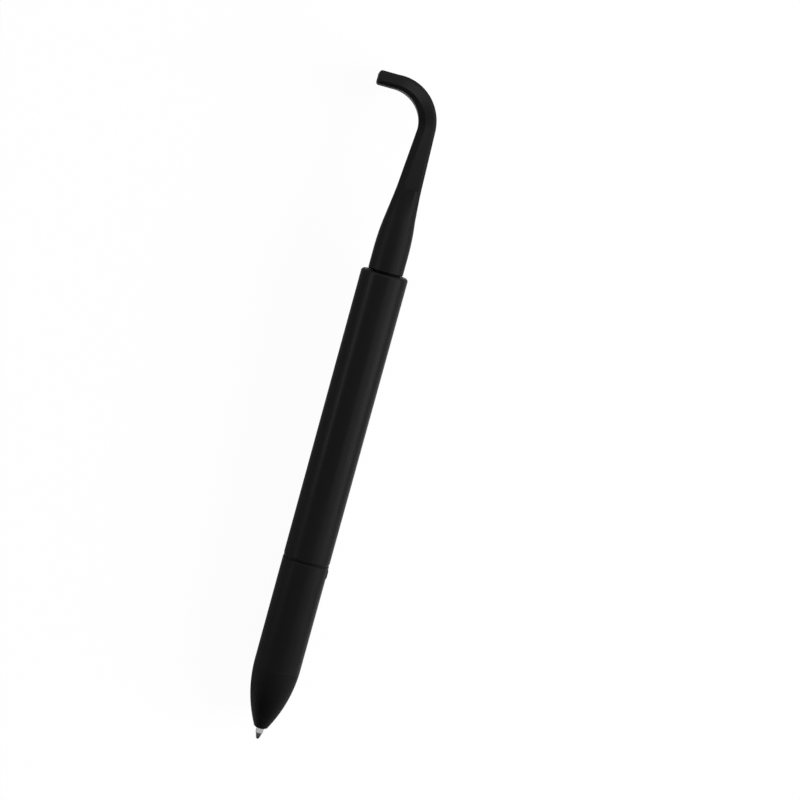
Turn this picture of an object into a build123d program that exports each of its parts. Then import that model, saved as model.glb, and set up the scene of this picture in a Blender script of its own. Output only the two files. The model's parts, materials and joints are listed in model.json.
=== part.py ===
"""Telescopic back-scratcher pen, closed, as separate sub-parts in millimetres.

The pen axis is Y, with the writing tip at -Y and the scratcher at +Y. The hook reaches to -X and +Z is up.
The origin is on the axis, in the middle of the lower barrel's grip.
"""

import os
from math import atan2, cos, degrees, radians, sin

from build123d import *

# Fits between pieces
running_gap = 0.05
pressed_gap = 0.02
end_play = 0.05
stop_gap = 0.3

# Barrel halves
barrel_radius = 6.5
lower_length = 31.5
upper_length = 81.5
seam_break = 0.15
seam_slope = 0.7
nose_seam_break = 0.06
rim_round = 0.9
washer_thickness = 0.15
lower_bore = 4.9
socket_bore = 5.4
socket_depth = 12.75
upper_bore = 5.6
lip_thickness = 1.6
guide_bush_length = 13.95

# Index pip on the lower barrel
pip_radius = 0.6
pip_height = 0.2
pip_length = 1.7
pip_drop = 2.2
pip_angle = 8.0

# Nose cone
nose_length = 17.3
nose_front_radius = 1.75
nose_mid_radius = 4.63
nose_mid_height = 6.7
nose_base_radius = 6.48
nose_front_break = 0.3
nose_land = 3.5
nose_cavity_radius = 3.6
nose_cavity_height = 11.0
spigot_bore = 4.3
spigot_length = 6.25

# Twist mechanism
cam_inner = 3.4
cam_reach = 22.0
cam_plug_length = 7.0
twist_angle = 180.0
refill_travel = 5.0
pin_radius = 0.85
pin_seat_radius = 2.1
pin_end_radius = 5.45
pin_rise = 5.0
keyway_floor = 0.15
carrier_below_pin = 4.0
carrier_above_pin = 9.5
ring_groove_radius = 4.3
ring_outer = 5.3
ring_thickness = 1.0
ring_split = 1.6
drag_ring_depth = 0.74
drag_ring_width = 0.76
drag_ring_rise = 1.9

# Refill
refill_length = 67.0
refill_radius = 1.175
refill_bore = 0.9
tip_exposure = 3.4
tip_shank_radius = 1.05
tip_cone_length = 2.3
tip_lip_radius = 0.46
tip_plug_length = 3.0
ball_radius = 0.4
ball_proud = 0.3
ball_seat_length = 0.23
ink_channel = 0.25
ink_length = 43.0
grease_length = 3.0

# Middle tube
middle_radius = 5.0
middle_bore = 4.3
middle_neck = 4.65
middle_ring_length = 7.0
middle_stop_length = 2.0
middle_stop_outer = 5.4
bush_flange = 1.4
bush_skirt = 1.65
bush_chamfer = 0.5

# Inner tube
inner_radius = 3.6
inner_bore = 2.8
inner_neck = 3.25
inner_lift = 0.8
inner_ring_length = 5.0
inner_stop_length = 1.2
inner_stop_outer = 4.0

# Scratcher head, heights above the collar's lower face
head_gap = 0.2
collar_radius = 4.82
collar_round = 0.4
collar_height = 5.5
dome_top = 15.0
dome_top_radius = 4.15
head_socket_depth = 9.0
waist_height = 23.0
waist_front = 3.1
waist_back = 3.5
waist_width = 5.9
neck_front = 1.86
neck_back = 2.92
neck_width = 6.6
arm_facet_depth = 1.75
arm_facet_rise = 1.9
side_draft = 0.85
back_break = 0.8
dome_back_break = 1.6
palm_height = 47.65
inner_bend = 8.65
bend_steps = 6
hand_thickness = 3.65
hand_width = 24.0
hand_facet = 1.0
palm_land = 0.14
finger_count = 5
finger_gap = 0.9
finger_length = 5.0
finger_plan_round = 1.6
finger_end_round = 0.8

# Stations along the axis
lower_top = lower_length / 2
lower_bottom = -lower_top
shoulder = lower_bottom + socket_depth
nose_front = lower_bottom - nose_length
tip_end = nose_front - tip_exposure
upper_bottom = lower_top + washer_thickness + end_play
upper_top = upper_bottom + upper_length
lip_bottom = upper_top - lip_thickness
plug_top = upper_bottom + cam_plug_length
cam_bottom = upper_bottom - cam_reach
pin_height = shoulder + pin_rise
middle_bottom = plug_top + stop_gap
middle_top = upper_top
middle_ring_bottom = middle_bottom + middle_stop_length + end_play
middle_ring_top = middle_ring_bottom + middle_ring_length
inner_bottom = middle_bottom + inner_lift
inner_ring_bottom = inner_bottom + inner_stop_length + end_play
inner_ring_top = inner_ring_bottom + inner_ring_length
collar_bottom = upper_top + head_gap
bend_height = palm_height - inner_bend
finger_root = neck_front + inner_bend + palm_land
hand_reach = finger_root + finger_length
socket_top = collar_bottom + head_socket_depth
tube_start = nose_front + nose_land + stop_gap
ink_bottom = tube_start + tip_plug_length + end_play
grease_bottom = ink_bottom + ink_length + end_play
refill_end = tip_end + refill_length

# Radii that follow from the fits
cam_outer = lower_bore - running_gap
carrier_radius = cam_inner - running_gap
slot_width = 2 * (pin_radius + running_gap)
cam_middle = (cam_inner + cam_outer) / 2
lip_bore = middle_radius + running_gap
bush_bore = inner_radius + running_gap
nose_bore = tip_shank_radius + 2 * running_gap
drag_groove_radius = cam_outer - drag_ring_depth


def bend_blend(turn, neck, hand):
    """Gives a size of the bend at a turn from 0 at the neck to 1 at the palm, on a smooth S-shaped ramp."""
    return neck + (hand - neck) * turn * turn * (3 - 2 * turn)


def arm_corners(inner, outer, width, facet_depth, facet_rise, draft=side_draft, edge_break=back_break):
    """Gives the corners of the arm's section, from one edge of its back round to the other.

    Facets slope in to the narrow inner face, and the sides draw in by the draft towards the back.
    """
    near = [
        (outer, width / 2 - draft - edge_break),
        (outer - edge_break, width / 2 - draft),
        (inner + facet_depth, width / 2),
        (inner, width / 2 - facet_rise),
    ]
    return near + [(x, -z) for x, z in reversed(near)]


with BuildPart() as lower_barrel:
    with BuildSketch(Plane.XY):
        with BuildLine():
            Polyline(
                (lower_bore, lower_top),
                (barrel_radius, lower_top),
                (barrel_radius, lower_bottom),
                (socket_bore, lower_bottom),
                (socket_bore, shoulder),
                (lower_bore, shoulder),
                close=True,
            )
        make_face()
    revolve(axis=Axis.Y)
    rims = edges().filter_by(GeomType.CIRCLE).filter_by(lambda e: abs(e.radius - barrel_radius) < 1e-6)
    chamfer(rims.sort_by(Axis.Y)[0], nose_seam_break)
    chamfer(rims.sort_by(Axis.Y)[-1], seam_break)
    pip_centre = barrel_radius + pip_height - pip_radius
    pip_x = pip_centre * cos(radians(pip_angle))
    pip_z = pip_centre * sin(radians(pip_angle))
    with Locations((pip_x, lower_top - pip_drop, pip_z)):
        Cylinder(pip_radius, pip_length, rotation=(90, 0, 0))
    with Locations(
        (pip_x, lower_top - pip_drop - pip_length / 2, pip_z),
        (pip_x, lower_top - pip_drop + pip_length / 2, pip_z),
    ):
        Sphere(pip_radius)
    keyway_bottom = pin_height - pin_radius - stop_gap
    with BuildSketch(Plane.XY):
        with BuildLine():
            Polyline(
                (-slot_width / 2, keyway_bottom),
                (slot_width / 2, keyway_bottom),
                (slot_width / 2, lower_top),
                (-slot_width / 2, lower_top),
                close=True,
            )
        make_face()
    extrude(amount=pin_end_radius + keyway_floor, both=True, mode=Mode.SUBTRACT)
lower_barrel.part.label = "lower_barrel"

with BuildPart() as nose_cone:
    with BuildSketch(Plane.XY):
        with BuildLine():
            Line((nose_bore, nose_front), (nose_front_radius, nose_front))
            ThreePointArc(
                (nose_front_radius, nose_front),
                (nose_mid_radius, nose_front + nose_mid_height),
                (nose_base_radius, lower_bottom),
            )
            Polyline(
                (nose_base_radius, lower_bottom),
                (socket_bore - pressed_gap, lower_bottom),
                (socket_bore - pressed_gap, lower_bottom + spigot_length),
                (spigot_bore, lower_bottom + spigot_length),
                (spigot_bore, lower_bottom),
                (nose_cavity_radius, nose_front + nose_cavity_height),
                (nose_bore, nose_front + nose_land),
                (nose_bore, nose_front),
            )
        make_face()
    revolve(axis=Axis.Y)
    front_rim = edges().filter_by(GeomType.CIRCLE).group_by(Axis.Y)[0].sort_by(SortBy.RADIUS)[-1]
    chamfer(front_rim, nose_front_break)
    base_rim = edges().filter_by(GeomType.CIRCLE).filter_by(lambda e: abs(e.radius - nose_base_radius) < 1e-6)
    chamfer(base_rim, nose_seam_break)
nose_cone.part.label = "nose_cone"

with BuildPart() as upper_barrel:
    with BuildSketch(Plane.XY):
        with BuildLine():
            Polyline(
                (upper_bore, upper_bottom),
                (barrel_radius - seam_break, upper_bottom),
                (barrel_radius, upper_bottom + seam_slope),
                (barrel_radius, upper_top),
                (lip_bore, upper_top),
                (lip_bore, lip_bottom),
                (upper_bore, lip_bottom),
                close=True,
            )
        make_face()
    revolve(axis=Axis.Y)
    rims = edges().filter_by(GeomType.CIRCLE).filter_by(lambda e: abs(e.radius - barrel_radius) < 1e-6)
    fillet(rims.sort_by(Axis.Y)[-1], rim_round)
upper_barrel.part.label = "upper_barrel"

with BuildPart() as barrel_guide_bush:
    bush_bottom = lip_bottom - guide_bush_length
    with BuildSketch(Plane.XY):
        with Locations(((lip_bore + upper_bore - pressed_gap) / 2, (bush_bottom + lip_bottom) / 2)):
            Rectangle(upper_bore - pressed_gap - lip_bore, lip_bottom - bush_bottom)
    revolve(axis=Axis.Y)
barrel_guide_bush.part.label = "barrel_guide_bush"

with BuildPart() as cam_slot:
    with BuildLine() as slot_path:
        Helix(
            pitch=refill_travel * 360 / twist_angle,
            height=refill_travel,
            radius=cam_middle,
            center=(0, pin_height, 0),
            direction=(0, 1, 0),
            lefthand=True,
        )
    with BuildSketch(Plane(origin=slot_path.line @ 0, x_dir=(0, 0, 1), z_dir=slot_path.line % 0)):
        Rectangle(2 * (cam_outer - cam_inner), slot_width)
    sweep(is_frenet=True)
    slot_end_angle = radians(twist_angle)
    with Locations((0, pin_height, cam_middle)):
        Cylinder(slot_width / 2, 2 * (cam_outer - cam_inner))
    with Locations(
        Location(
            (-cam_middle * sin(slot_end_angle), pin_height + refill_travel, cam_middle * cos(slot_end_angle)),
            (0, -twist_angle, 0),
        )
    ):
        Cylinder(slot_width / 2, 2 * (cam_outer - cam_inner))

with BuildPart() as twist_cam_sleeve:
    groove_half = drag_ring_width / 2 + running_gap
    drag_ring_height = shoulder + drag_ring_rise
    ring_top = shoulder - end_play
    ring_bottom = ring_top - ring_thickness
    with BuildSketch(Plane.XY):
        with BuildLine():
            Polyline(
                (cam_inner, cam_bottom),
                (cam_outer, cam_bottom),
                (cam_outer, ring_bottom - end_play),
                (ring_groove_radius, ring_bottom - end_play),
                (ring_groove_radius, ring_top + end_play),
                (cam_outer, ring_top + end_play),
                (cam_outer, drag_ring_height - groove_half),
                (drag_groove_radius, drag_ring_height - groove_half),
                (drag_groove_radius, drag_ring_height + groove_half),
                (cam_outer, drag_ring_height + groove_half),
                (cam_outer, upper_bottom),
                (upper_bore - pressed_gap, upper_bottom),
                (upper_bore - pressed_gap, plug_top),
                (cam_inner, plug_top),
                close=True,
            )
        make_face()
    revolve(axis=Axis.Y)
    add(cam_slot.part, mode=Mode.SUBTRACT)
    add(cam_slot.part, rotation=(0, 180, 0), mode=Mode.SUBTRACT)
twist_cam_sleeve.part.label = "twist_cam_sleeve"

with BuildPart() as cam_retaining_ring:
    ring_inner = ring_groove_radius + pressed_gap
    with BuildSketch(Plane.XY):
        with Locations(((ring_inner + ring_outer) / 2, (ring_bottom + ring_top) / 2)):
            Rectangle(ring_outer - ring_inner, ring_thickness)
    revolve(axis=Axis.Y)
    with Locations((ring_outer, ring_top - ring_thickness / 2, 0)):
        Box(ring_outer, 2 * ring_thickness, ring_split, mode=Mode.SUBTRACT)
cam_retaining_ring.part.label = "cam_retaining_ring"

with BuildPart() as twist_drag_ring:
    drag_inner = drag_groove_radius + pressed_gap
    drag_outer = lower_bore - pressed_gap
    with BuildSketch(Plane.XY):
        with Locations(((drag_inner + drag_outer) / 2, drag_ring_height)):
            Rectangle(drag_outer - drag_inner, drag_ring_width)
    revolve(axis=Axis.Y)
twist_drag_ring.part.label = "twist_drag_ring"

with BuildPart() as thrust_washer:
    washer_outer = barrel_radius - 2 * seam_break
    with BuildSketch(Plane.XY):
        with Locations(((lower_bore + washer_outer) / 2, (lower_top + upper_bottom) / 2)):
            Rectangle(washer_outer - lower_bore, washer_thickness)
    revolve(axis=Axis.Y)
thrust_washer.part.label = "thrust_washer"

with BuildPart() as refill_carrier:
    carrier_bottom = pin_height - carrier_below_pin
    carrier_top = pin_height + carrier_above_pin
    carrier_bore = refill_radius + pressed_gap
    with BuildSketch(Plane.XY):
        with Locations(((carrier_bore + carrier_radius) / 2, (carrier_bottom + carrier_top) / 2)):
            Rectangle(carrier_radius - carrier_bore, carrier_top - carrier_bottom)
    revolve(axis=Axis.Y)
    chamfer(edges().filter_by(GeomType.CIRCLE), 3 * running_gap)
    with Locations((0, pin_height, carrier_radius), (0, pin_height, -carrier_radius)):
        Cylinder(pin_radius + pressed_gap, 2 * (carrier_radius - pin_seat_radius), mode=Mode.SUBTRACT)
refill_carrier.part.label = "refill_carrier"

pin_middle = (pin_seat_radius + pressed_gap + pin_end_radius) / 2
pin_length = pin_end_radius - pin_seat_radius - pressed_gap

with BuildPart() as follower_pin_top:
    with Locations((0, pin_height, pin_middle)):
        Cylinder(pin_radius, pin_length)
    chamfer(edges().filter_by(GeomType.CIRCLE), 2 * running_gap)
follower_pin_top.part.label = "follower_pin_top"

with BuildPart() as follower_pin_bottom:
    with Locations((0, pin_height, -pin_middle)):
        Cylinder(pin_radius, pin_length)
    chamfer(edges().filter_by(GeomType.CIRCLE), 2 * running_gap)
follower_pin_bottom.part.label = "follower_pin_bottom"

with BuildPart() as refill_tube:
    with BuildSketch(Plane.XY):
        with Locations(((refill_bore + refill_radius) / 2, (tube_start + refill_end) / 2)):
            Rectangle(refill_radius - refill_bore, refill_end - tube_start)
    revolve(axis=Axis.Y)
refill_tube.part.label = "refill_tube"

with BuildPart() as writing_tip:
    lip_height = tip_end + ball_proud
    seat_radius = ball_radius + pressed_gap
    seat_height = tip_end + ball_radius + ball_radius / 2
    with BuildSketch(Plane.XY):
        with BuildLine():
            Polyline(
                (ink_channel, seat_height + ball_seat_length),
                (seat_radius, seat_height),
                (seat_radius, lip_height),
                (tip_lip_radius, lip_height),
                (tip_shank_radius, tip_end + tip_cone_length),
                (tip_shank_radius, tube_start),
                (refill_bore - pressed_gap, tube_start),
                (refill_bore - pressed_gap, tube_start + tip_plug_length),
                (ink_channel, tube_start + tip_plug_length),
                close=True,
            )
        make_face()
    revolve(axis=Axis.Y)
writing_tip.part.label = "writing_tip"

with BuildPart() as writing_ball:
    with Locations((0, tip_end + ball_radius, 0)):
        Sphere(ball_radius)
writing_ball.part.label = "writing_ball"

with BuildPart() as ink_column:
    with BuildSketch(Plane.XY):
        with Locations(((refill_bore - pressed_gap) / 2, ink_bottom + ink_length / 2)):
            Rectangle(refill_bore - pressed_gap, ink_length)
    revolve(axis=Axis.Y)
ink_column.part.label = "ink_column"

with BuildPart() as grease_plug:
    with BuildSketch(Plane.XY):
        with Locations(((refill_bore - pressed_gap) / 2, grease_bottom + grease_length / 2)):
            Rectangle(refill_bore - pressed_gap, grease_length)
    revolve(axis=Axis.Y)
grease_plug.part.label = "grease_plug"

with BuildPart() as middle_tube:
    tube_top = middle_top - bush_flange
    with BuildSketch(Plane.XY):
        with BuildLine():
            Polyline(
                (middle_bore, middle_bottom),
                (middle_neck, middle_bottom),
                (middle_neck, middle_ring_top + end_play),
                (middle_radius, middle_ring_top + end_play),
                (middle_radius, tube_top),
                (middle_bore, tube_top),
                close=True,
            )
        make_face()
    revolve(axis=Axis.Y)
middle_tube.part.label = "middle_tube"

with BuildPart() as middle_tube_bush:
    skirt_bottom = tube_top - bush_skirt
    with BuildSketch(Plane.XY):
        with BuildLine():
            Polyline(
                (bush_bore, skirt_bottom),
                (middle_bore - pressed_gap, skirt_bottom),
                (middle_bore - pressed_gap, tube_top),
                (middle_radius, tube_top),
                (middle_radius, middle_top),
                (bush_bore, middle_top),
                close=True,
            )
        make_face()
    revolve(axis=Axis.Y)
    chamfer(edges().filter_by(GeomType.CIRCLE).group_by(Axis.Y)[-1].sort_by(SortBy.RADIUS)[-1], bush_chamfer)
middle_tube_bush.part.label = "middle_tube_bush"

with BuildPart() as middle_friction_ring:
    ring_in = middle_neck + running_gap
    ring_out = upper_bore - running_gap
    with BuildSketch(Plane.XY):
        with Locations(((ring_in + ring_out) / 2, (middle_ring_bottom + middle_ring_top) / 2)):
            Rectangle(ring_out - ring_in, middle_ring_length)
    revolve(axis=Axis.Y)
    chamfer(edges().filter_by(GeomType.CIRCLE).sort_by(SortBy.RADIUS)[-2:], 3 * running_gap)
middle_friction_ring.part.label = "middle_friction_ring"

with BuildPart() as middle_stop_collar:
    collar_in = middle_neck + pressed_gap
    with BuildSketch(Plane.XY):
        with Locations(((collar_in + middle_stop_outer) / 2, middle_bottom + middle_stop_length / 2)):
            Rectangle(middle_stop_outer - collar_in, middle_stop_length)
    revolve(axis=Axis.Y)
    chamfer(edges().filter_by(GeomType.CIRCLE).sort_by(SortBy.RADIUS)[-2:], 3 * running_gap)
middle_stop_collar.part.label = "middle_stop_collar"

with BuildPart() as inner_tube:
    with BuildSketch(Plane.XY):
        with BuildLine():
            Polyline(
                (inner_bore, inner_bottom),
                (inner_neck, inner_bottom),
                (inner_neck, inner_ring_top + end_play),
                (inner_radius, inner_ring_top + end_play),
                (inner_radius, socket_top - end_play),
                (inner_bore, socket_top - end_play),
                close=True,
            )
        make_face()
    revolve(axis=Axis.Y)
inner_tube.part.label = "inner_tube"

with BuildPart() as inner_friction_ring:
    ring_in = inner_neck + running_gap
    ring_out = middle_bore - running_gap
    with BuildSketch(Plane.XY):
        with Locations(((ring_in + ring_out) / 2, (inner_ring_bottom + inner_ring_top) / 2)):
            Rectangle(ring_out - ring_in, inner_ring_length)
    revolve(axis=Axis.Y)
    chamfer(edges().filter_by(GeomType.CIRCLE).sort_by(SortBy.RADIUS)[-2:], 3 * running_gap)
inner_friction_ring.part.label = "inner_friction_ring"

with BuildPart() as inner_stop_collar:
    collar_in = inner_neck + pressed_gap
    with BuildSketch(Plane.XY):
        with Locations(((collar_in + inner_stop_outer) / 2, inner_bottom + inner_stop_length / 2)):
            Rectangle(inner_stop_outer - collar_in, inner_stop_length)
    revolve(axis=Axis.Y)
    chamfer(edges().filter_by(GeomType.CIRCLE).sort_by(SortBy.RADIUS)[-2:], 3 * running_gap)
inner_stop_collar.part.label = "inner_stop_collar"

with BuildPart() as fingers:
    finger_pitch = (hand_width + finger_gap) / finger_count
    finger_bar = finger_length + finger_plan_round
    palm_face = collar_bottom + palm_height
    with BuildSketch(Plane.XZ.offset(-palm_face)):
        with Locations((finger_bar / 2 - hand_reach, 0)):
            with GridLocations(finger_pitch, finger_pitch, 1, finger_count):
                RectangleRounded(finger_bar, finger_pitch - finger_gap, finger_plan_round)
    extrude(amount=-hand_thickness)
    with BuildSketch(Plane.XY):
        with Locations((finger_bar / 2 - hand_reach, palm_face + hand_thickness / 2)):
            RectangleRounded(finger_bar, hand_thickness, finger_end_round)
    extrude(amount=hand_width, both=True, mode=Mode.INTERSECT)
    hand_base = (-finger_root, collar_bottom + bend_height, 0)
    with BuildSketch(Plane(origin=hand_base, x_dir=(0, 1, 0), z_dir=(-1, 0, 0))):
        with BuildLine():
            Polyline(
                *arm_corners(inner_bend, inner_bend + hand_thickness, hand_width, hand_facet, hand_facet),
                close=True,
            )
        make_face()
    extrude(amount=finger_bar, mode=Mode.INTERSECT)

with BuildPart() as scratcher_head:
    with BuildSketch(Plane.XY):
        with BuildLine():
            FilletPolyline(
                (0, collar_bottom),
                (collar_radius, collar_bottom),
                (collar_radius, collar_bottom + collar_height),
                radius=collar_round,
            )
            TangentArc(
                (collar_radius, collar_bottom + collar_height),
                (dome_top_radius, collar_bottom + dome_top),
                tangent=(0, 1),
            )
            Polyline(
                (dome_top_radius, collar_bottom + dome_top),
                (0, collar_bottom + dome_top),
                (0, collar_bottom),
            )
        make_face()
    revolve(axis=Axis.Y)
    waist_sizes = (-waist_front, waist_back, waist_width, arm_facet_depth, arm_facet_rise)
    dome_end = arm_corners(*waist_sizes, draft=0, edge_break=dome_back_break)
    corner_turns = [degrees(atan2(z, x)) % 360 for x, z in dome_end]
    with BuildSketch(Plane(origin=(0, collar_bottom + dome_top, 0), x_dir=(1, 0, 0), z_dir=(0, 1, 0))):
        with BuildLine():
            for start, end in zip(corner_turns, corner_turns[1:] + [corner_turns[0] + 360]):
                CenterArc((0, 0), dome_top_radius, start, end - start)
        make_face()
    with BuildSketch(Plane(origin=(0, collar_bottom + waist_height, 0), x_dir=(1, 0, 0), z_dir=(0, 1, 0))):
        with BuildLine():
            Polyline(*dome_end, close=True)
        make_face()
    loft()
    for height, corners in (
        (waist_height, arm_corners(*waist_sizes)),
        (bend_height, arm_corners(-neck_front, neck_back, neck_width, arm_facet_depth, arm_facet_rise)),
    ):
        with BuildSketch(Plane(origin=(0, collar_bottom + height, 0), x_dir=(1, 0, 0), z_dir=(0, 1, 0))):
            with BuildLine():
                Polyline(*corners, close=True)
            make_face()
    loft()
    bend_centre = (-neck_front - inner_bend, collar_bottom + bend_height, 0)
    for step in range(bend_steps + 1):
        turn = step / bend_steps
        across = (cos(radians(90 * turn)), sin(radians(90 * turn)), 0)
        along = (-across[1], across[0], 0)
        thickness = hand_thickness + (neck_front + neck_back - hand_thickness) * across[0]
        width = bend_blend(turn, neck_width, hand_width)
        facet_depth = bend_blend(turn, arm_facet_depth, hand_facet)
        facet_rise = bend_blend(turn, arm_facet_rise, hand_facet)
        with BuildSketch(Plane(origin=bend_centre, x_dir=across, z_dir=along)):
            with BuildLine():
                Polyline(
                    *arm_corners(inner_bend, inner_bend + thickness, width, facet_depth, facet_rise),
                    close=True,
                )
            make_face()
    loft()
    extrude(faces().sort_by(Axis.X)[0], amount=palm_land)
    add(fingers.part)
    with Locations((0, collar_bottom + head_socket_depth / 2, 0)):
        Cylinder(inner_radius + pressed_gap, head_socket_depth, rotation=(90, 0, 0), mode=Mode.SUBTRACT)
scratcher_head.part.label = "scratcher_head"

os.makedirs("parts", exist_ok=True)
export_step(lower_barrel.part, "parts/lower_barrel.step")
export_step(nose_cone.part, "parts/nose_cone.step")
export_step(upper_barrel.part, "parts/upper_barrel.step")
export_step(barrel_guide_bush.part, "parts/barrel_guide_bush.step")
export_step(twist_cam_sleeve.part, "parts/twist_cam_sleeve.step")
export_step(cam_retaining_ring.part, "parts/cam_retaining_ring.step")
export_step(twist_drag_ring.part, "parts/twist_drag_ring.step")
export_step(thrust_washer.part, "parts/thrust_washer.step")
export_step(refill_carrier.part, "parts/refill_carrier.step")
export_step(follower_pin_top.part, "parts/follower_pin_top.step")
export_step(follower_pin_bottom.part, "parts/follower_pin_bottom.step")
export_step(refill_tube.part, "parts/refill_tube.step")
export_step(writing_tip.part, "parts/writing_tip.step")
export_step(writing_ball.part, "parts/writing_ball.step")
export_step(ink_column.part, "parts/ink_column.step")
export_step(grease_plug.part, "parts/grease_plug.step")
export_step(middle_tube.part, "parts/middle_tube.step")
export_step(middle_tube_bush.part, "parts/middle_tube_bush.step")
export_step(middle_friction_ring.part, "parts/middle_friction_ring.step")
export_step(middle_stop_collar.part, "parts/middle_stop_collar.step")
export_step(inner_tube.part, "parts/inner_tube.step")
export_step(inner_friction_ring.part, "parts/inner_friction_ring.step")
export_step(inner_stop_collar.part, "parts/inner_stop_collar.step")
export_step(scratcher_head.part, "parts/scratcher_head.step")
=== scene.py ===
"""Looks of the telescopic back-scratcher pen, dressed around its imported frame.

The frame is in metres, with the pen axis along Y, the writing tip at -Y and the hook reaching to -X.
"""

import json
import logging
import math
from dataclasses import dataclass, field
from enum import Enum

import bpy
from mathutils import Matrix, Vector

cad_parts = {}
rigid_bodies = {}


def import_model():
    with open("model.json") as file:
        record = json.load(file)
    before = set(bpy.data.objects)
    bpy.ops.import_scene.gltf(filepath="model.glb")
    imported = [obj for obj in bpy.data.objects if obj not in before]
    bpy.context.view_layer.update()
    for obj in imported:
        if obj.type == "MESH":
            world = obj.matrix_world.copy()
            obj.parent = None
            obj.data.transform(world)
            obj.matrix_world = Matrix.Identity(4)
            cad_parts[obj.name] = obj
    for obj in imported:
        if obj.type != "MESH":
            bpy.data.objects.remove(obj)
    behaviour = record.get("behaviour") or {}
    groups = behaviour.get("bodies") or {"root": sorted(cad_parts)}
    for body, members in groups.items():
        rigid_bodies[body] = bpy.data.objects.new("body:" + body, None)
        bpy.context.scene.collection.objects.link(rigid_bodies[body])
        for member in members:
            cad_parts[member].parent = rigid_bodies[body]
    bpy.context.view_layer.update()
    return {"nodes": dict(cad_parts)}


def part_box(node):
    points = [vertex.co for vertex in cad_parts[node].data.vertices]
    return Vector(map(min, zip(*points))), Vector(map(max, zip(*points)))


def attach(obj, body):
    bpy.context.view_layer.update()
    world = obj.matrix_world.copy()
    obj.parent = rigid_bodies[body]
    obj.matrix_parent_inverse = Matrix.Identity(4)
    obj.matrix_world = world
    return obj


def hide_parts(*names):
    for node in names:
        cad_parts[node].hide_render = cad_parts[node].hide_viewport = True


for start_object in list(bpy.data.objects):
    bpy.data.objects.remove(start_object)
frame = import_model()

MM = 0.001
Colour = tuple[float, float, float]
Socket = bpy.types.NodeSocket
log = logging.getLogger("pen")

# The factor of a noise pattern at its dark and at its bright spots
NOISE_LOW = 0.3
NOISE_HIGH = 0.7

# Linear colours that more than one finish or light uses
DEEP_BLACK: Colour = (0.0014, 0.0014, 0.0015)
SOFT_BLACK: Colour = (0.0022, 0.0022, 0.0024)
WHITE: Colour = (1.0, 1.0, 1.0)


class Marks(Enum):
    """How the marks on a surface lie, as their length along each axis."""

    SPOTS = (1.0, 1.0, 1.0)
    SMEARS = (1.0, 2.0, 1.0)
    FLOW = (1.0, 4.0, 1.0)
    DRAWN = (1.0, 40.0, 1.0)
    TURNED = (40.0, 1.0, 40.0)


class Side(Enum):
    """The side of the pen that a lamp hangs on, as the sign of X."""

    LEFT = -1.0
    RIGHT = 1.0


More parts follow.
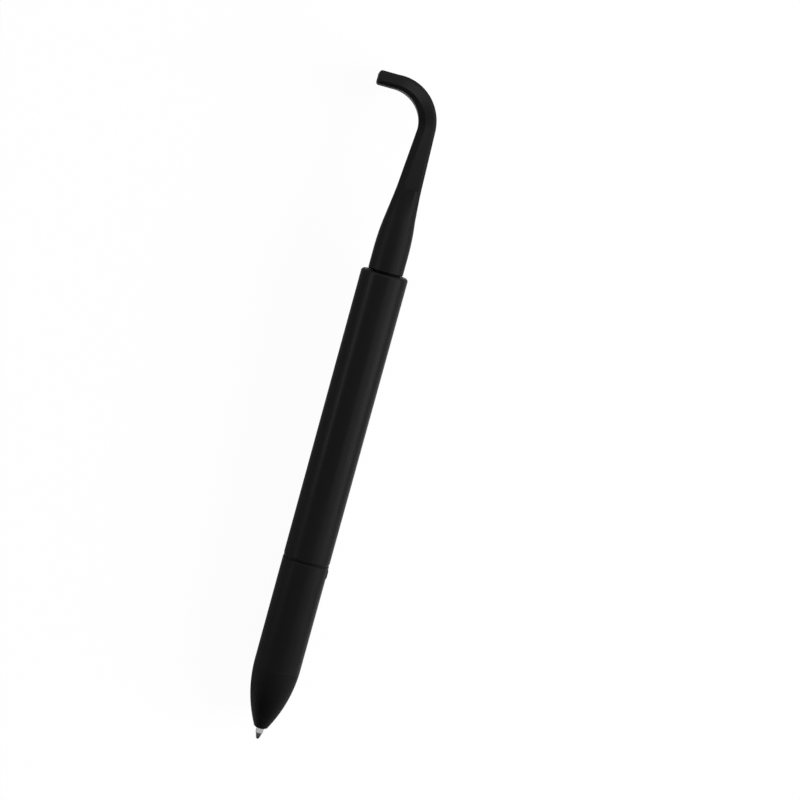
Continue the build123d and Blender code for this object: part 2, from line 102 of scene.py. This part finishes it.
class NodeSheet:
    """The node tree of a material or a world, with short calls to add and join nodes."""

    def __init__(self, owner: bpy.types.Material | bpy.types.World) -> None:
        """Starts with an empty tree.

        Args:
            owner: The material or the world.
        """
        owner.use_nodes = True
        self.owner = owner
        self.tree = owner.node_tree
        self.tree.nodes.clear()

    def add(self, kind: str, **settings: object) -> bpy.types.Node:
        """Adds a node and sets its properties and unlinked inputs.

        Args:
            kind: The node's type name.
            settings: Property names, or input names with spaces written as underscores.

        Returns:
            The new node.
        """
        node = self.tree.nodes.new(kind)
        for name, value in settings.items():
            if hasattr(node, name):
                setattr(node, name, value)
            else:
                node.inputs[name.replace("_", " ")].default_value = value
        return node

    def join(self, source: Socket, target: Socket) -> None:
        """Links an output to an input."""
        self.tree.links.new(source, target)

    def noise(self, size: float, marks: Marks, detail: float = 3.0) -> Socket:
        """Adds a noise pattern on the object's own coordinates.

        Args:
            size: The size of its spots in metres.
            marks: How the spots lie.
            detail: How many finer layers it has.

        Returns:
            The pattern's factor output.
        """
        place = self.add("ShaderNodeTexCoord")
        scale = self.add("ShaderNodeMapping", Scale=[1.0 / length for length in marks.value])
        spots = self.add("ShaderNodeTexNoise", Scale=1.0 / size, Detail=detail)
        self.join(place.outputs["Object"], scale.inputs["Vector"])
        self.join(scale.outputs["Vector"], spots.inputs["Vector"])
        return spots.outputs["Fac"]

    def spread(self, factor: Socket, middle: float, reach: float) -> Socket:
        """Maps the middle of a noise pattern to values round a middle one.

        Args:
            factor: The pattern.
            middle: The middle value.
            reach: How far below it the dark spots lie, and above it the bright ones.

        Returns:
            The mapped value.
        """
        ramp = self.add(
            "ShaderNodeMapRange",
            From_Min=NOISE_LOW,
            From_Max=NOISE_HIGH,
            To_Min=middle - reach,
            To_Max=middle + reach,
        )
        self.join(factor, ramp.inputs["Value"])
        return ramp.outputs["Result"]

    def ramp(self, factor: Socket, stops: tuple[tuple[float, Colour], ...]) -> Socket:
        """Maps a value to a run of colours.

        Args:
            factor: The value.
            stops: Each stop's place from 0 to 1, in order, with its linear colour.

        Returns:
            The colour output.
        """
        node = self.add("ShaderNodeValToRGB")
        elements = node.color_ramp.elements
        while len(elements) < len(stops):
            elements.new(1.0)
        for element, (place, colour) in zip(elements, stops):
            element.position = place
            element.color = (*colour, 1.0)
        self.join(factor, node.inputs["Fac"])
        return node.outputs["Color"]

    def tint(self, factor: Socket, dark: Colour, light: Colour) -> Socket:
        """Maps the middle of a noise pattern to the colours between two tints."""
        return self.ramp(factor, ((NOISE_LOW, dark), (NOISE_HIGH, light)))

    def bumps(self, height: Socket, depth: float, below: Socket | None = None) -> Socket:
        """Adds a relief to the surface.

        Args:
            height: The pattern of its height.
            depth: Its depth in metres.
            below: A coarser relief that it lies on.

        Returns:
            The normal output.
        """
        bump = self.add("ShaderNodeBump", Strength=1.0, Distance=depth)
        self.join(height, bump.inputs["Height"])
        if below is not None:
            self.join(below, bump.inputs["Normal"])
        return bump.outputs["Normal"]

    def clear_view(self) -> Socket:
        """Tells the camera's own rays, also those through clear pieces, from all others.

        Returns:
            An output that is 1 on those rays and 0 on others.
        """
        rays = self.add("ShaderNodeLightPath")
        either = self.add("ShaderNodeMath", operation="MAXIMUM")
        self.join(rays.outputs["Is Camera Ray"], either.inputs[0])
        self.join(rays.outputs["Is Transmission Ray"], either.inputs[1])
        return either.outputs[0]

    def mix(self, share: Socket, first: bpy.types.Node, second: bpy.types.Node) -> bpy.types.Node:
        """Mixes two shaders.

        Args:
            share: The second one's share.
            first: The first shader.
            second: The second shader.

        Returns:
            The mixed shader.
        """
        both = self.add("ShaderNodeMixShader")
        self.join(share, both.inputs["Fac"])
        self.join(first.outputs[0], both.inputs[1])
        self.join(second.outputs[0], both.inputs[2])
        return both

    def finish(self, shader: bpy.types.Node) -> None:
        """Joins the last shader to the output.

        Args:
            shader: The shader.
        """
        of_world = isinstance(self.owner, bpy.types.World)
        output = self.add("ShaderNodeOutputWorld" if of_world else "ShaderNodeOutputMaterial")
        self.join(shader.outputs[0], output.inputs["Surface"])


@dataclass(frozen=True)
class SatinPlastic:
    """A moulded plastic with a fine eroded grain, soft flow marks and faint handling smears."""

    name: str
    dark: Colour = DEEP_BLACK
    light: Colour = SOFT_BLACK
    roughness: float = 0.30
    roughness_spread: float = 0.05
    specular: float = 0.114
    grain_size: float = 0.16 * MM
    grain_depth: float = 0.0016 * MM
    flow_size: float = 3.5 * MM
    flow_depth: float = 0.004 * MM
    flow_detail: float = 1.0
    smear_size: float = 9.0 * MM
    smear_detail: float = 4.0

    def material(self) -> bpy.types.Material:
        """Makes the finish as a node material.

        Returns:
            The material.
        """
        sheet = NodeSheet(bpy.data.materials.new(self.name))
        shader = sheet.add("ShaderNodeBsdfPrincipled", Specular_IOR_Level=self.specular)
        grain = sheet.noise(self.grain_size, Marks.SPOTS)
        flow = sheet.noise(self.flow_size, Marks.FLOW, self.flow_detail)
        smear = sheet.noise(self.smear_size, Marks.SMEARS, self.smear_detail)
        tint = sheet.tint(smear, self.dark, self.light)
        gloss = sheet.spread(smear, self.roughness, self.roughness_spread)
        relief = sheet.bumps(grain, self.grain_depth, below=sheet.bumps(flow, self.flow_depth))
        sheet.join(tint, shader.inputs["Base Color"])
        sheet.join(gloss, shader.inputs["Roughness"])
        sheet.join(relief, shader.inputs["Normal"])
        sheet.finish(shader)
        return sheet.owner


@dataclass(frozen=True)
class WorkedMetal:
    """A bare or painted metal with fine marks from its making."""

    name: str
    dark: Colour
    light: Colour
    marks: Marks
    roughness: float
    roughness_spread: float = 0.06
    mark_size: float = 0.05 * MM
    mark_depth: float = 0.0012 * MM
    cloud_size: float = 2.0 * MM
    metallic: float = 1.0
    specular: float = 0.5

    def material(self) -> bpy.types.Material:
        """Makes the finish as a node material.

        Returns:
            The material.
        """
        sheet = NodeSheet(bpy.data.materials.new(self.name))
        shader = sheet.add(
            "ShaderNodeBsdfPrincipled",
            Metallic=self.metallic,
            Specular_IOR_Level=self.specular,
        )
        lines = sheet.noise(self.mark_size, self.marks)
        cloud = sheet.noise(self.cloud_size, Marks.SPOTS)
        tint = sheet.tint(cloud, self.dark, self.light)
        gloss = sheet.spread(lines, self.roughness, self.roughness_spread)
        sheet.join(tint, shader.inputs["Base Color"])
        sheet.join(gloss, shader.inputs["Roughness"])
        sheet.join(sheet.bumps(lines, self.mark_depth), shader.inputs["Normal"])
        sheet.finish(shader)
        return sheet.owner


Finish = SatinPlastic | WorkedMetal

GRIP_PLASTIC = SatinPlastic("grip_satin_black")
NOSE_PLASTIC = SatinPlastic("nose_matt_black", roughness=0.45, specular=0.108)
BARREL_PLASTIC = SatinPlastic("barrel_satin_black")
HEAD_PLASTIC = SatinPlastic("head_satin_black", roughness=0.42, grain_size=0.2 * MM)
BUSH_PLASTIC = SatinPlastic("bush_satin_black", roughness=0.36)
TUBE_PAINT = WorkedMetal(
    "tube_black_paint",
    dark=DEEP_BLACK,
    light=SOFT_BLACK,
    marks=Marks.DRAWN,
    roughness=0.32,
    mark_size=0.12 * MM,
    cloud_size=5.0 * MM,
    metallic=0.0,
    specular=0.125,
)
TIP_METAL = WorkedMetal(
    "tip_nickel_silver",
    dark=(0.56, 0.56, 0.57),
    light=(0.70, 0.70, 0.70),
    marks=Marks.TURNED,
    roughness=0.2,
)
# The cone's metal is a darker copy of the tip's nickel silver: painted shade.
CONE_PAINTED_SHADE = WorkedMetal(
    "tip_cone_painted_shade",
    dark=(0.17, 0.17, 0.175),
    light=(0.26, 0.26, 0.265),
    marks=Marks.TURNED,
    roughness=0.2,
)
# The ball gets a near-black, non-metallic finish.
BALL_METAL = WorkedMetal(
    "ball_near_black",
    dark=(0.004, 0.004, 0.006),
    light=(0.008, 0.008, 0.011),
    marks=Marks.SPOTS,
    roughness=0.16,
    metallic=0.0,
)
STEEL = WorkedMetal(
    "pin_steel", dark=(0.46, 0.46, 0.47), light=(0.58, 0.58, 0.59), marks=Marks.TURNED, roughness=0.28
)
BRASS = WorkedMetal(
    "collar_brass", dark=(0.60, 0.42, 0.17), light=(0.74, 0.54, 0.26), marks=Marks.TURNED, roughness=0.30
)
REFILL_METAL = WorkedMetal(
    "refill_brass", dark=(0.58, 0.43, 0.20), light=(0.70, 0.55, 0.29), marks=Marks.DRAWN, roughness=0.26
)
ACETAL = SatinPlastic(
    "acetal_white", dark=(0.66, 0.65, 0.60), light=(0.74, 0.73, 0.69), roughness=0.42, specular=0.4
)
RUBBER = SatinPlastic(
    "ring_rubber", dark=(0.014, 0.014, 0.014), light=(0.022, 0.022, 0.022), roughness=0.62, specular=0.3
)
INK = SatinPlastic(
    "ink_black", dark=(0.006, 0.006, 0.012), light=(0.010, 0.010, 0.020), roughness=0.12, specular=0.5
)
GREASE = SatinPlastic(
    "refill_grease", dark=(0.62, 0.48, 0.16), light=(0.76, 0.62, 0.26), roughness=0.16, specular=0.5
)


def dress_nodes(finish: Finish, *names: str) -> None:
    """Gives frame nodes a better material in their own slots.

    Args:
        finish: The finish that they share.
        names: The nodes.
    """
    material = finish.material()
    for name in names:
        frame["nodes"][name].material_slots[0].material = material
        log.info("%s: %s", name, material.name)


@dataclass
class Turning:
    """A hollow piece turned on a lathe, from the corners of its outline round the pen axis.

    Edges that turn by more than the crease, in degrees, stay sharp.
    """

    name: str
    segments: int = 96
    crease: float = 25.0
    merge_distance: float = 0.0001 * MM
    outline: list[tuple[float, float]] = field(default_factory=list)

    def corner(self, radius: float, height: float) -> None:
        """Adds a corner of the outline, in millimetres."""
        self.outline.append((radius * MM, height * MM))

    def build(self) -> bpy.types.Object:
        """Turns the outline, back to its first corner, into a mesh with its place in its points.

        Returns:
            The new object.
        """
        radius, height = self.outline[0]
        bpy.ops.object.select_all(action="DESELECT")
        bpy.ops.mesh.primitive_circle_add(
            vertices=self.segments,
            radius=radius,
            location=(0.0, height, 0.0),
            rotation=(math.radians(90), 0.0, 0.0),
        )
        piece = bpy.context.object
        piece.name = self.name
        bpy.ops.object.transform_apply(location=True, rotation=True, scale=True)
        bpy.ops.object.mode_set(mode="EDIT")
        bpy.ops.mesh.select_all(action="SELECT")
        for next_radius, next_height in self.outline[1:] + self.outline[:1]:
            bpy.ops.mesh.extrude_edges_indiv()
            bpy.ops.transform.translate(value=(0.0, next_height - height, 0.0))
            share = next_radius / radius
            bpy.ops.transform.resize(value=(share, 1.0, share), center_override=(0.0, next_height, 0.0))
            radius, height = next_radius, next_height
        bpy.ops.mesh.select_all(action="SELECT")
        bpy.ops.mesh.remove_doubles(threshold=self.merge_distance)
        bpy.ops.mesh.normals_make_consistent(inside=False)
        bpy.ops.object.mode_set(mode="OBJECT")
        bpy.ops.object.shade_smooth_by_angle(angle=math.radians(self.crease))
        return piece


@dataclass
class LowerBody:
    """The grip barrel and the nose cone."""

    shell: Finish = GRIP_PLASTIC
    nose: Finish = NOSE_PLASTIC

    def dress(self) -> None:
        """Gives the barrel the satin black of the pen and the nose a more matt one."""
        dress_nodes(self.shell, "lower_barrel")
        dress_nodes(self.nose, "nose_cone")


@dataclass
class UpperBody:
    """The long barrel with the cam, its ring and washer, and the guide bush."""

    shell: Finish = BARREL_PLASTIC
    bush: Finish = BUSH_PLASTIC
    cam: Finish = ACETAL
    ring: Finish = STEEL
    drag: Finish = RUBBER

    def dress(self) -> None:
        """Gives the shell and the parts in it their finishes."""
        dress_nodes(self.shell, "upper_barrel")
        dress_nodes(self.bush, "barrel_guide_bush", "thrust_washer")
        dress_nodes(self.cam, "twist_cam_sleeve")
        dress_nodes(self.ring, "cam_retaining_ring")
        dress_nodes(self.drag, "twist_drag_ring")


@dataclass
class Refill:
    """The ballpoint refill, its carrier and the two follower pins, with sizes in millimetres."""

    body: str = "refill_body"
    shank_radius: float = 1.05
    cone_length: float = 2.0
    groove_depth: float = 0.14
    groove_width: float = 0.2
    lip_radius: float = 0.46
    lip_round: float = 0.015
    shoulder_round: float = 0.03
    seat_gap: float = 0.02
    seat_depth: float = 0.3
    seat_cone: float = 0.23
    channel_radius: float = 0.25
    plug_radius: float = 0.88
    plug_length: float = 3.0
    shank: Finish = TIP_METAL
    cone: Finish = CONE_PAINTED_SHADE
    pin: Finish = STEEL
    carrier: Finish = ACETAL
    tube: Finish = REFILL_METAL
    ball: Finish = BALL_METAL
    ink: Finish = INK
    grease: Finish = GREASE

    def build(self) -> None:
        """Turns the writing tip, with a machined groove and a lip round the ball's seat.

        In front of its shoulder the metal takes a darker copy of its finish: painted shade.
        """
        low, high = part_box("writing_tip")
        ball_low, ball_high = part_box("writing_ball")
        lip, end = low.y / MM, high.y / MM
        seat_radius = (ball_high.x - ball_low.x) / MM / 2 + self.seat_gap
        shoulder = ball_low.y / MM + self.cone_length
        groove_radius = self.shank_radius - self.groove_depth
        tip = Turning("writing_tip_turned")
        tip.corner(seat_radius, lip)
        tip.corner(self.lip_radius - self.lip_round, lip)
        tip.corner(self.lip_radius, lip + self.lip_round)
        tip.corner(groove_radius, shoulder - self.groove_width)
        tip.corner(groove_radius, shoulder)
        tip.corner(self.shank_radius - self.shoulder_round, shoulder)
        tip.corner(self.shank_radius, shoulder + self.shoulder_round)
        tip.corner(self.shank_radius, end - self.plug_length)
        tip.corner(self.plug_radius, end - self.plug_length)
        tip.corner(self.plug_radius, end)
        tip.corner(self.channel_radius, end)
        tip.corner(self.channel_radius, lip + self.seat_depth + self.seat_cone)
        tip.corner(seat_radius, lip + self.seat_depth)
        piece = tip.build()
        piece.data.materials.append(self.shank.material())
        piece.data.materials.append(self.cone.material())
        # Faces in front of the shoulder get the cone's darker copy of the metal, as painted shade.
        for face in piece.data.polygons:
            face.material_index = int(face.center.y < shoulder * MM)
        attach(piece, self.body)
        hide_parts("writing_tip")
        log.info("%s: %s and %s", piece.name, self.shank.name, self.cone.name)

    def dress(self) -> None:
        """Gives the other parts of the refill their finishes."""
        dress_nodes(self.pin, "follower_pin_top", "follower_pin_bottom")
        dress_nodes(self.carrier, "refill_carrier")
        dress_nodes(self.tube, "refill_tube")
        dress_nodes(self.ball, "writing_ball")
        dress_nodes(self.ink, "ink_column")
        dress_nodes(self.grease, "grease_plug")


@dataclass
class SlidingTubes:
    """The two tubes that slide out of the barrel, with their rings, collars and bush."""

    tube: Finish = TUBE_PAINT
    bush: Finish = BUSH_PLASTIC
    ring: Finish = ACETAL
    collar: Finish = BRASS

    def dress(self) -> None:
        """Gives the tubes their black paint and the parts on them their finishes."""
        dress_nodes(self.tube, "middle_tube", "inner_tube")
        dress_nodes(self.bush, "middle_tube_bush")
        dress_nodes(self.ring, "middle_friction_ring", "inner_friction_ring")
        dress_nodes(self.collar, "middle_stop_collar", "inner_stop_collar")


@dataclass
class ScratcherHead:
    """The moulded hand with its arm and collar."""

    moulding: Finish = HEAD_PLASTIC

    def dress(self) -> None:
        """Gives the head its satin black."""
        dress_nodes(self.moulding, "scratcher_head")


@dataclass
class SoftBox:
    """A large soft lamp beside the pen, with sizes in metres and its elevation in degrees."""

    name: str
    side: Side
    elevation: float
    radiance: float
    width: float
    length: float
    along: float
    distance: float = 0.7
    in_gloss: bool = True

    def hang(self) -> None:
        """Hangs the lamp so that it faces the pen."""
        lamp = bpy.data.lights.new(self.name, "AREA")
        lamp.shape = "RECTANGLE"
        lamp.size = self.length
        lamp.size_y = self.width
        lamp.energy = self.radiance * math.pi * self.width * self.length
        box = bpy.data.objects.new(self.name, lamp)
        box.visible_glossy = self.in_gloss
        bpy.context.scene.collection.objects.link(box)
        rise = math.radians(self.elevation)
        away = Vector((self.side.value * math.cos(rise), 0.0, math.sin(rise)))
        across = Vector((0.0, 1.0, 0.0))
        turn = Matrix((across, away.cross(across), away)).transposed()
        box.matrix_world = Matrix.Translation(away * self.distance + across * self.along) @ turn.to_4x4()


@dataclass
class Studio:
    """The pale floor, the soft light and the camera, with angles in degrees.

    The room is the light that gloss shows along the pen. Each of its stops has a place, from 0 where the tip
    points to 1 where the head points, and the light there.
    """

    floor_size: float = 3.0
    floor_colour: float = 0.5
    floor_white: float = 0.92
    floor_glow: float = 1.04
    room: tuple[tuple[float, float], ...] = (
        (0.0, 0.05),
        (0.15, 0.12),
        (0.375, 0.70),
        (0.5, 0.94),
        (0.66, 0.82),
        (0.8, 1.3),
        (1.0, 1.6),
    )
    room_fill: float = 0.35
    lens: float = 92.98
    lens_near: float = 10 * MM
    camera_distance: float = 555.44 * MM
    camera_foot: float = 135.08 * MM
    lean: float = 2.2
    pitch: float = 7.1606
    yaw: float = 1.3407
    turn: float = -15.5213

    def lay_floor(self) -> None:
        """Lays the floor under the lower barrel's front edge and the hand's lower edge."""
        barrel_low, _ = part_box("lower_barrel")
        hand_low, hand_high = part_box("scratcher_head")
        front = Vector((0.0, barrel_low.y, barrel_low.z))
        slope = math.atan2(hand_low.z - front.z, hand_high.y - front.y)
        bpy.ops.object.select_all(action="DESELECT")
        bpy.ops.mesh.primitive_plane_add(size=self.floor_size, location=front, rotation=(slope, 0.0, 0.0))
        floor = bpy.context.object
        floor.name = "floor"
        floor.data.materials.append(self.floor_material())

    def floor_material(self) -> bpy.types.Material:
        """Makes the floor's pale paint, which the camera sees as white with a faint shadow.

        Returns:
            The material.
        """
        sheet = NodeSheet(bpy.data.materials.new("floor_pale"))
        paint = sheet.add("ShaderNodeBsdfDiffuse", Color=[self.floor_colour] * 3 + [1.0])
        white = sheet.add("ShaderNodeEmission", Strength=self.floor_glow)
        share = sheet.add("ShaderNodeMath", operation="MULTIPLY")
        share.inputs[1].default_value = self.floor_white
        sheet.join(sheet.clear_view(), share.inputs[0])
        sheet.finish(sheet.mix(share.outputs[0], paint, white))
        return sheet.owner

    def light_world(self) -> None:
        """Gives the room its even fill, its light along the pen for gloss, and white for the camera."""
        sheet = NodeSheet(bpy.data.worlds.new("studio"))
        bpy.context.scene.world = sheet.owner
        way = sheet.add("ShaderNodeTexCoord")
        split = sheet.add("ShaderNodeSeparateXYZ")
        along = sheet.add("ShaderNodeMapRange", From_Min=-1.0)
        sheet.join(way.outputs["Generated"], split.inputs["Vector"])
        sheet.join(split.outputs["Y"], along.inputs["Value"])
        stops = tuple((place, (light, light, light)) for place, light in self.room)
        fill = sheet.add("ShaderNodeBackground", Color=(*WHITE, 1.0), Strength=self.room_fill)
        gloss = sheet.add("ShaderNodeBackground")
        white = sheet.add("ShaderNodeBackground", Color=(*WHITE, 1.0))
        sheet.join(sheet.ramp(along.outputs["Result"], stops), gloss.inputs["Color"])
        rays = sheet.add("ShaderNodeLightPath")
        lit = sheet.mix(rays.outputs["Is Glossy Ray"], fill, gloss)
        sheet.finish(sheet.mix(sheet.clear_view(), lit, white))

    def hang_lamps(self) -> None:
        """Hangs three soft lamps that show as bands in the gloss, and a low key lamp from the right."""
        lamps = (
            SoftBox(
                "right_softbox",
                Side.RIGHT,
                elevation=16.0,
                radiance=1.7,
                width=0.37,
                length=0.79,
                along=0.265,
            ),
            SoftBox(
                "right_fill",
                Side.RIGHT,
                elevation=48.0,
                radiance=1.0,
                width=0.40,
                length=0.79,
                along=0.265,
            ),
            SoftBox(
                "left_strip",
                Side.LEFT,
                elevation=28.0,
                radiance=2.5,
                width=0.13,
                length=0.69,
                along=0.255,
            ),
            SoftBox(
                "right_key",
                Side.RIGHT,
                elevation=22.0,
                radiance=17.0,
                width=0.4,
                length=0.6,
                along=0.05,
                distance=0.9,
                in_gloss=False,
            ),
        )
        for lamp in lamps:
            lamp.hang()

    def place_camera(self) -> None:
        """Places the camera at the photograph's viewing angle, above the pen."""
        view = bpy.data.cameras.new("photo_camera")
        view.lens = self.lens
        view.clip_start = self.lens_near
        camera = bpy.data.objects.new("photo_camera", view)
        bpy.context.scene.collection.objects.link(camera)
        lean = math.radians(self.lean)
        aim = (
            Matrix.Rotation(math.radians(self.turn), 3, "Z")
            @ Matrix.Rotation(math.radians(self.pitch), 3, "X")
            @ Matrix.Rotation(math.radians(self.yaw) + lean, 3, "Y")
        )
        spot = Vector((-math.sin(lean), 0.0, math.cos(lean))) * self.camera_distance
        spot.y = self.camera_foot
        camera.matrix_world = Matrix.Translation(spot) @ aim.transposed().to_4x4()
        bpy.context.scene.camera = camera

    def set_up(self) -> None:
        """Sets up the floor, the light and the camera."""
        bpy.context.scene.view_settings.view_transform = "Standard"
        self.lay_floor()
        self.light_world()
        self.hang_lamps()
        self.place_camera()


def main() -> None:
    """Builds and dresses the pen, then sets up the studio."""
    logging.basicConfig(level=logging.INFO)
    LowerBody().dress()
    UpperBody().dress()
    refill = Refill()
    refill.build()
    refill.dress()
    SlidingTubes().dress()
    ScratcherHead().dress()
    Studio().set_up()


if __name__ == "__main__":
    main()
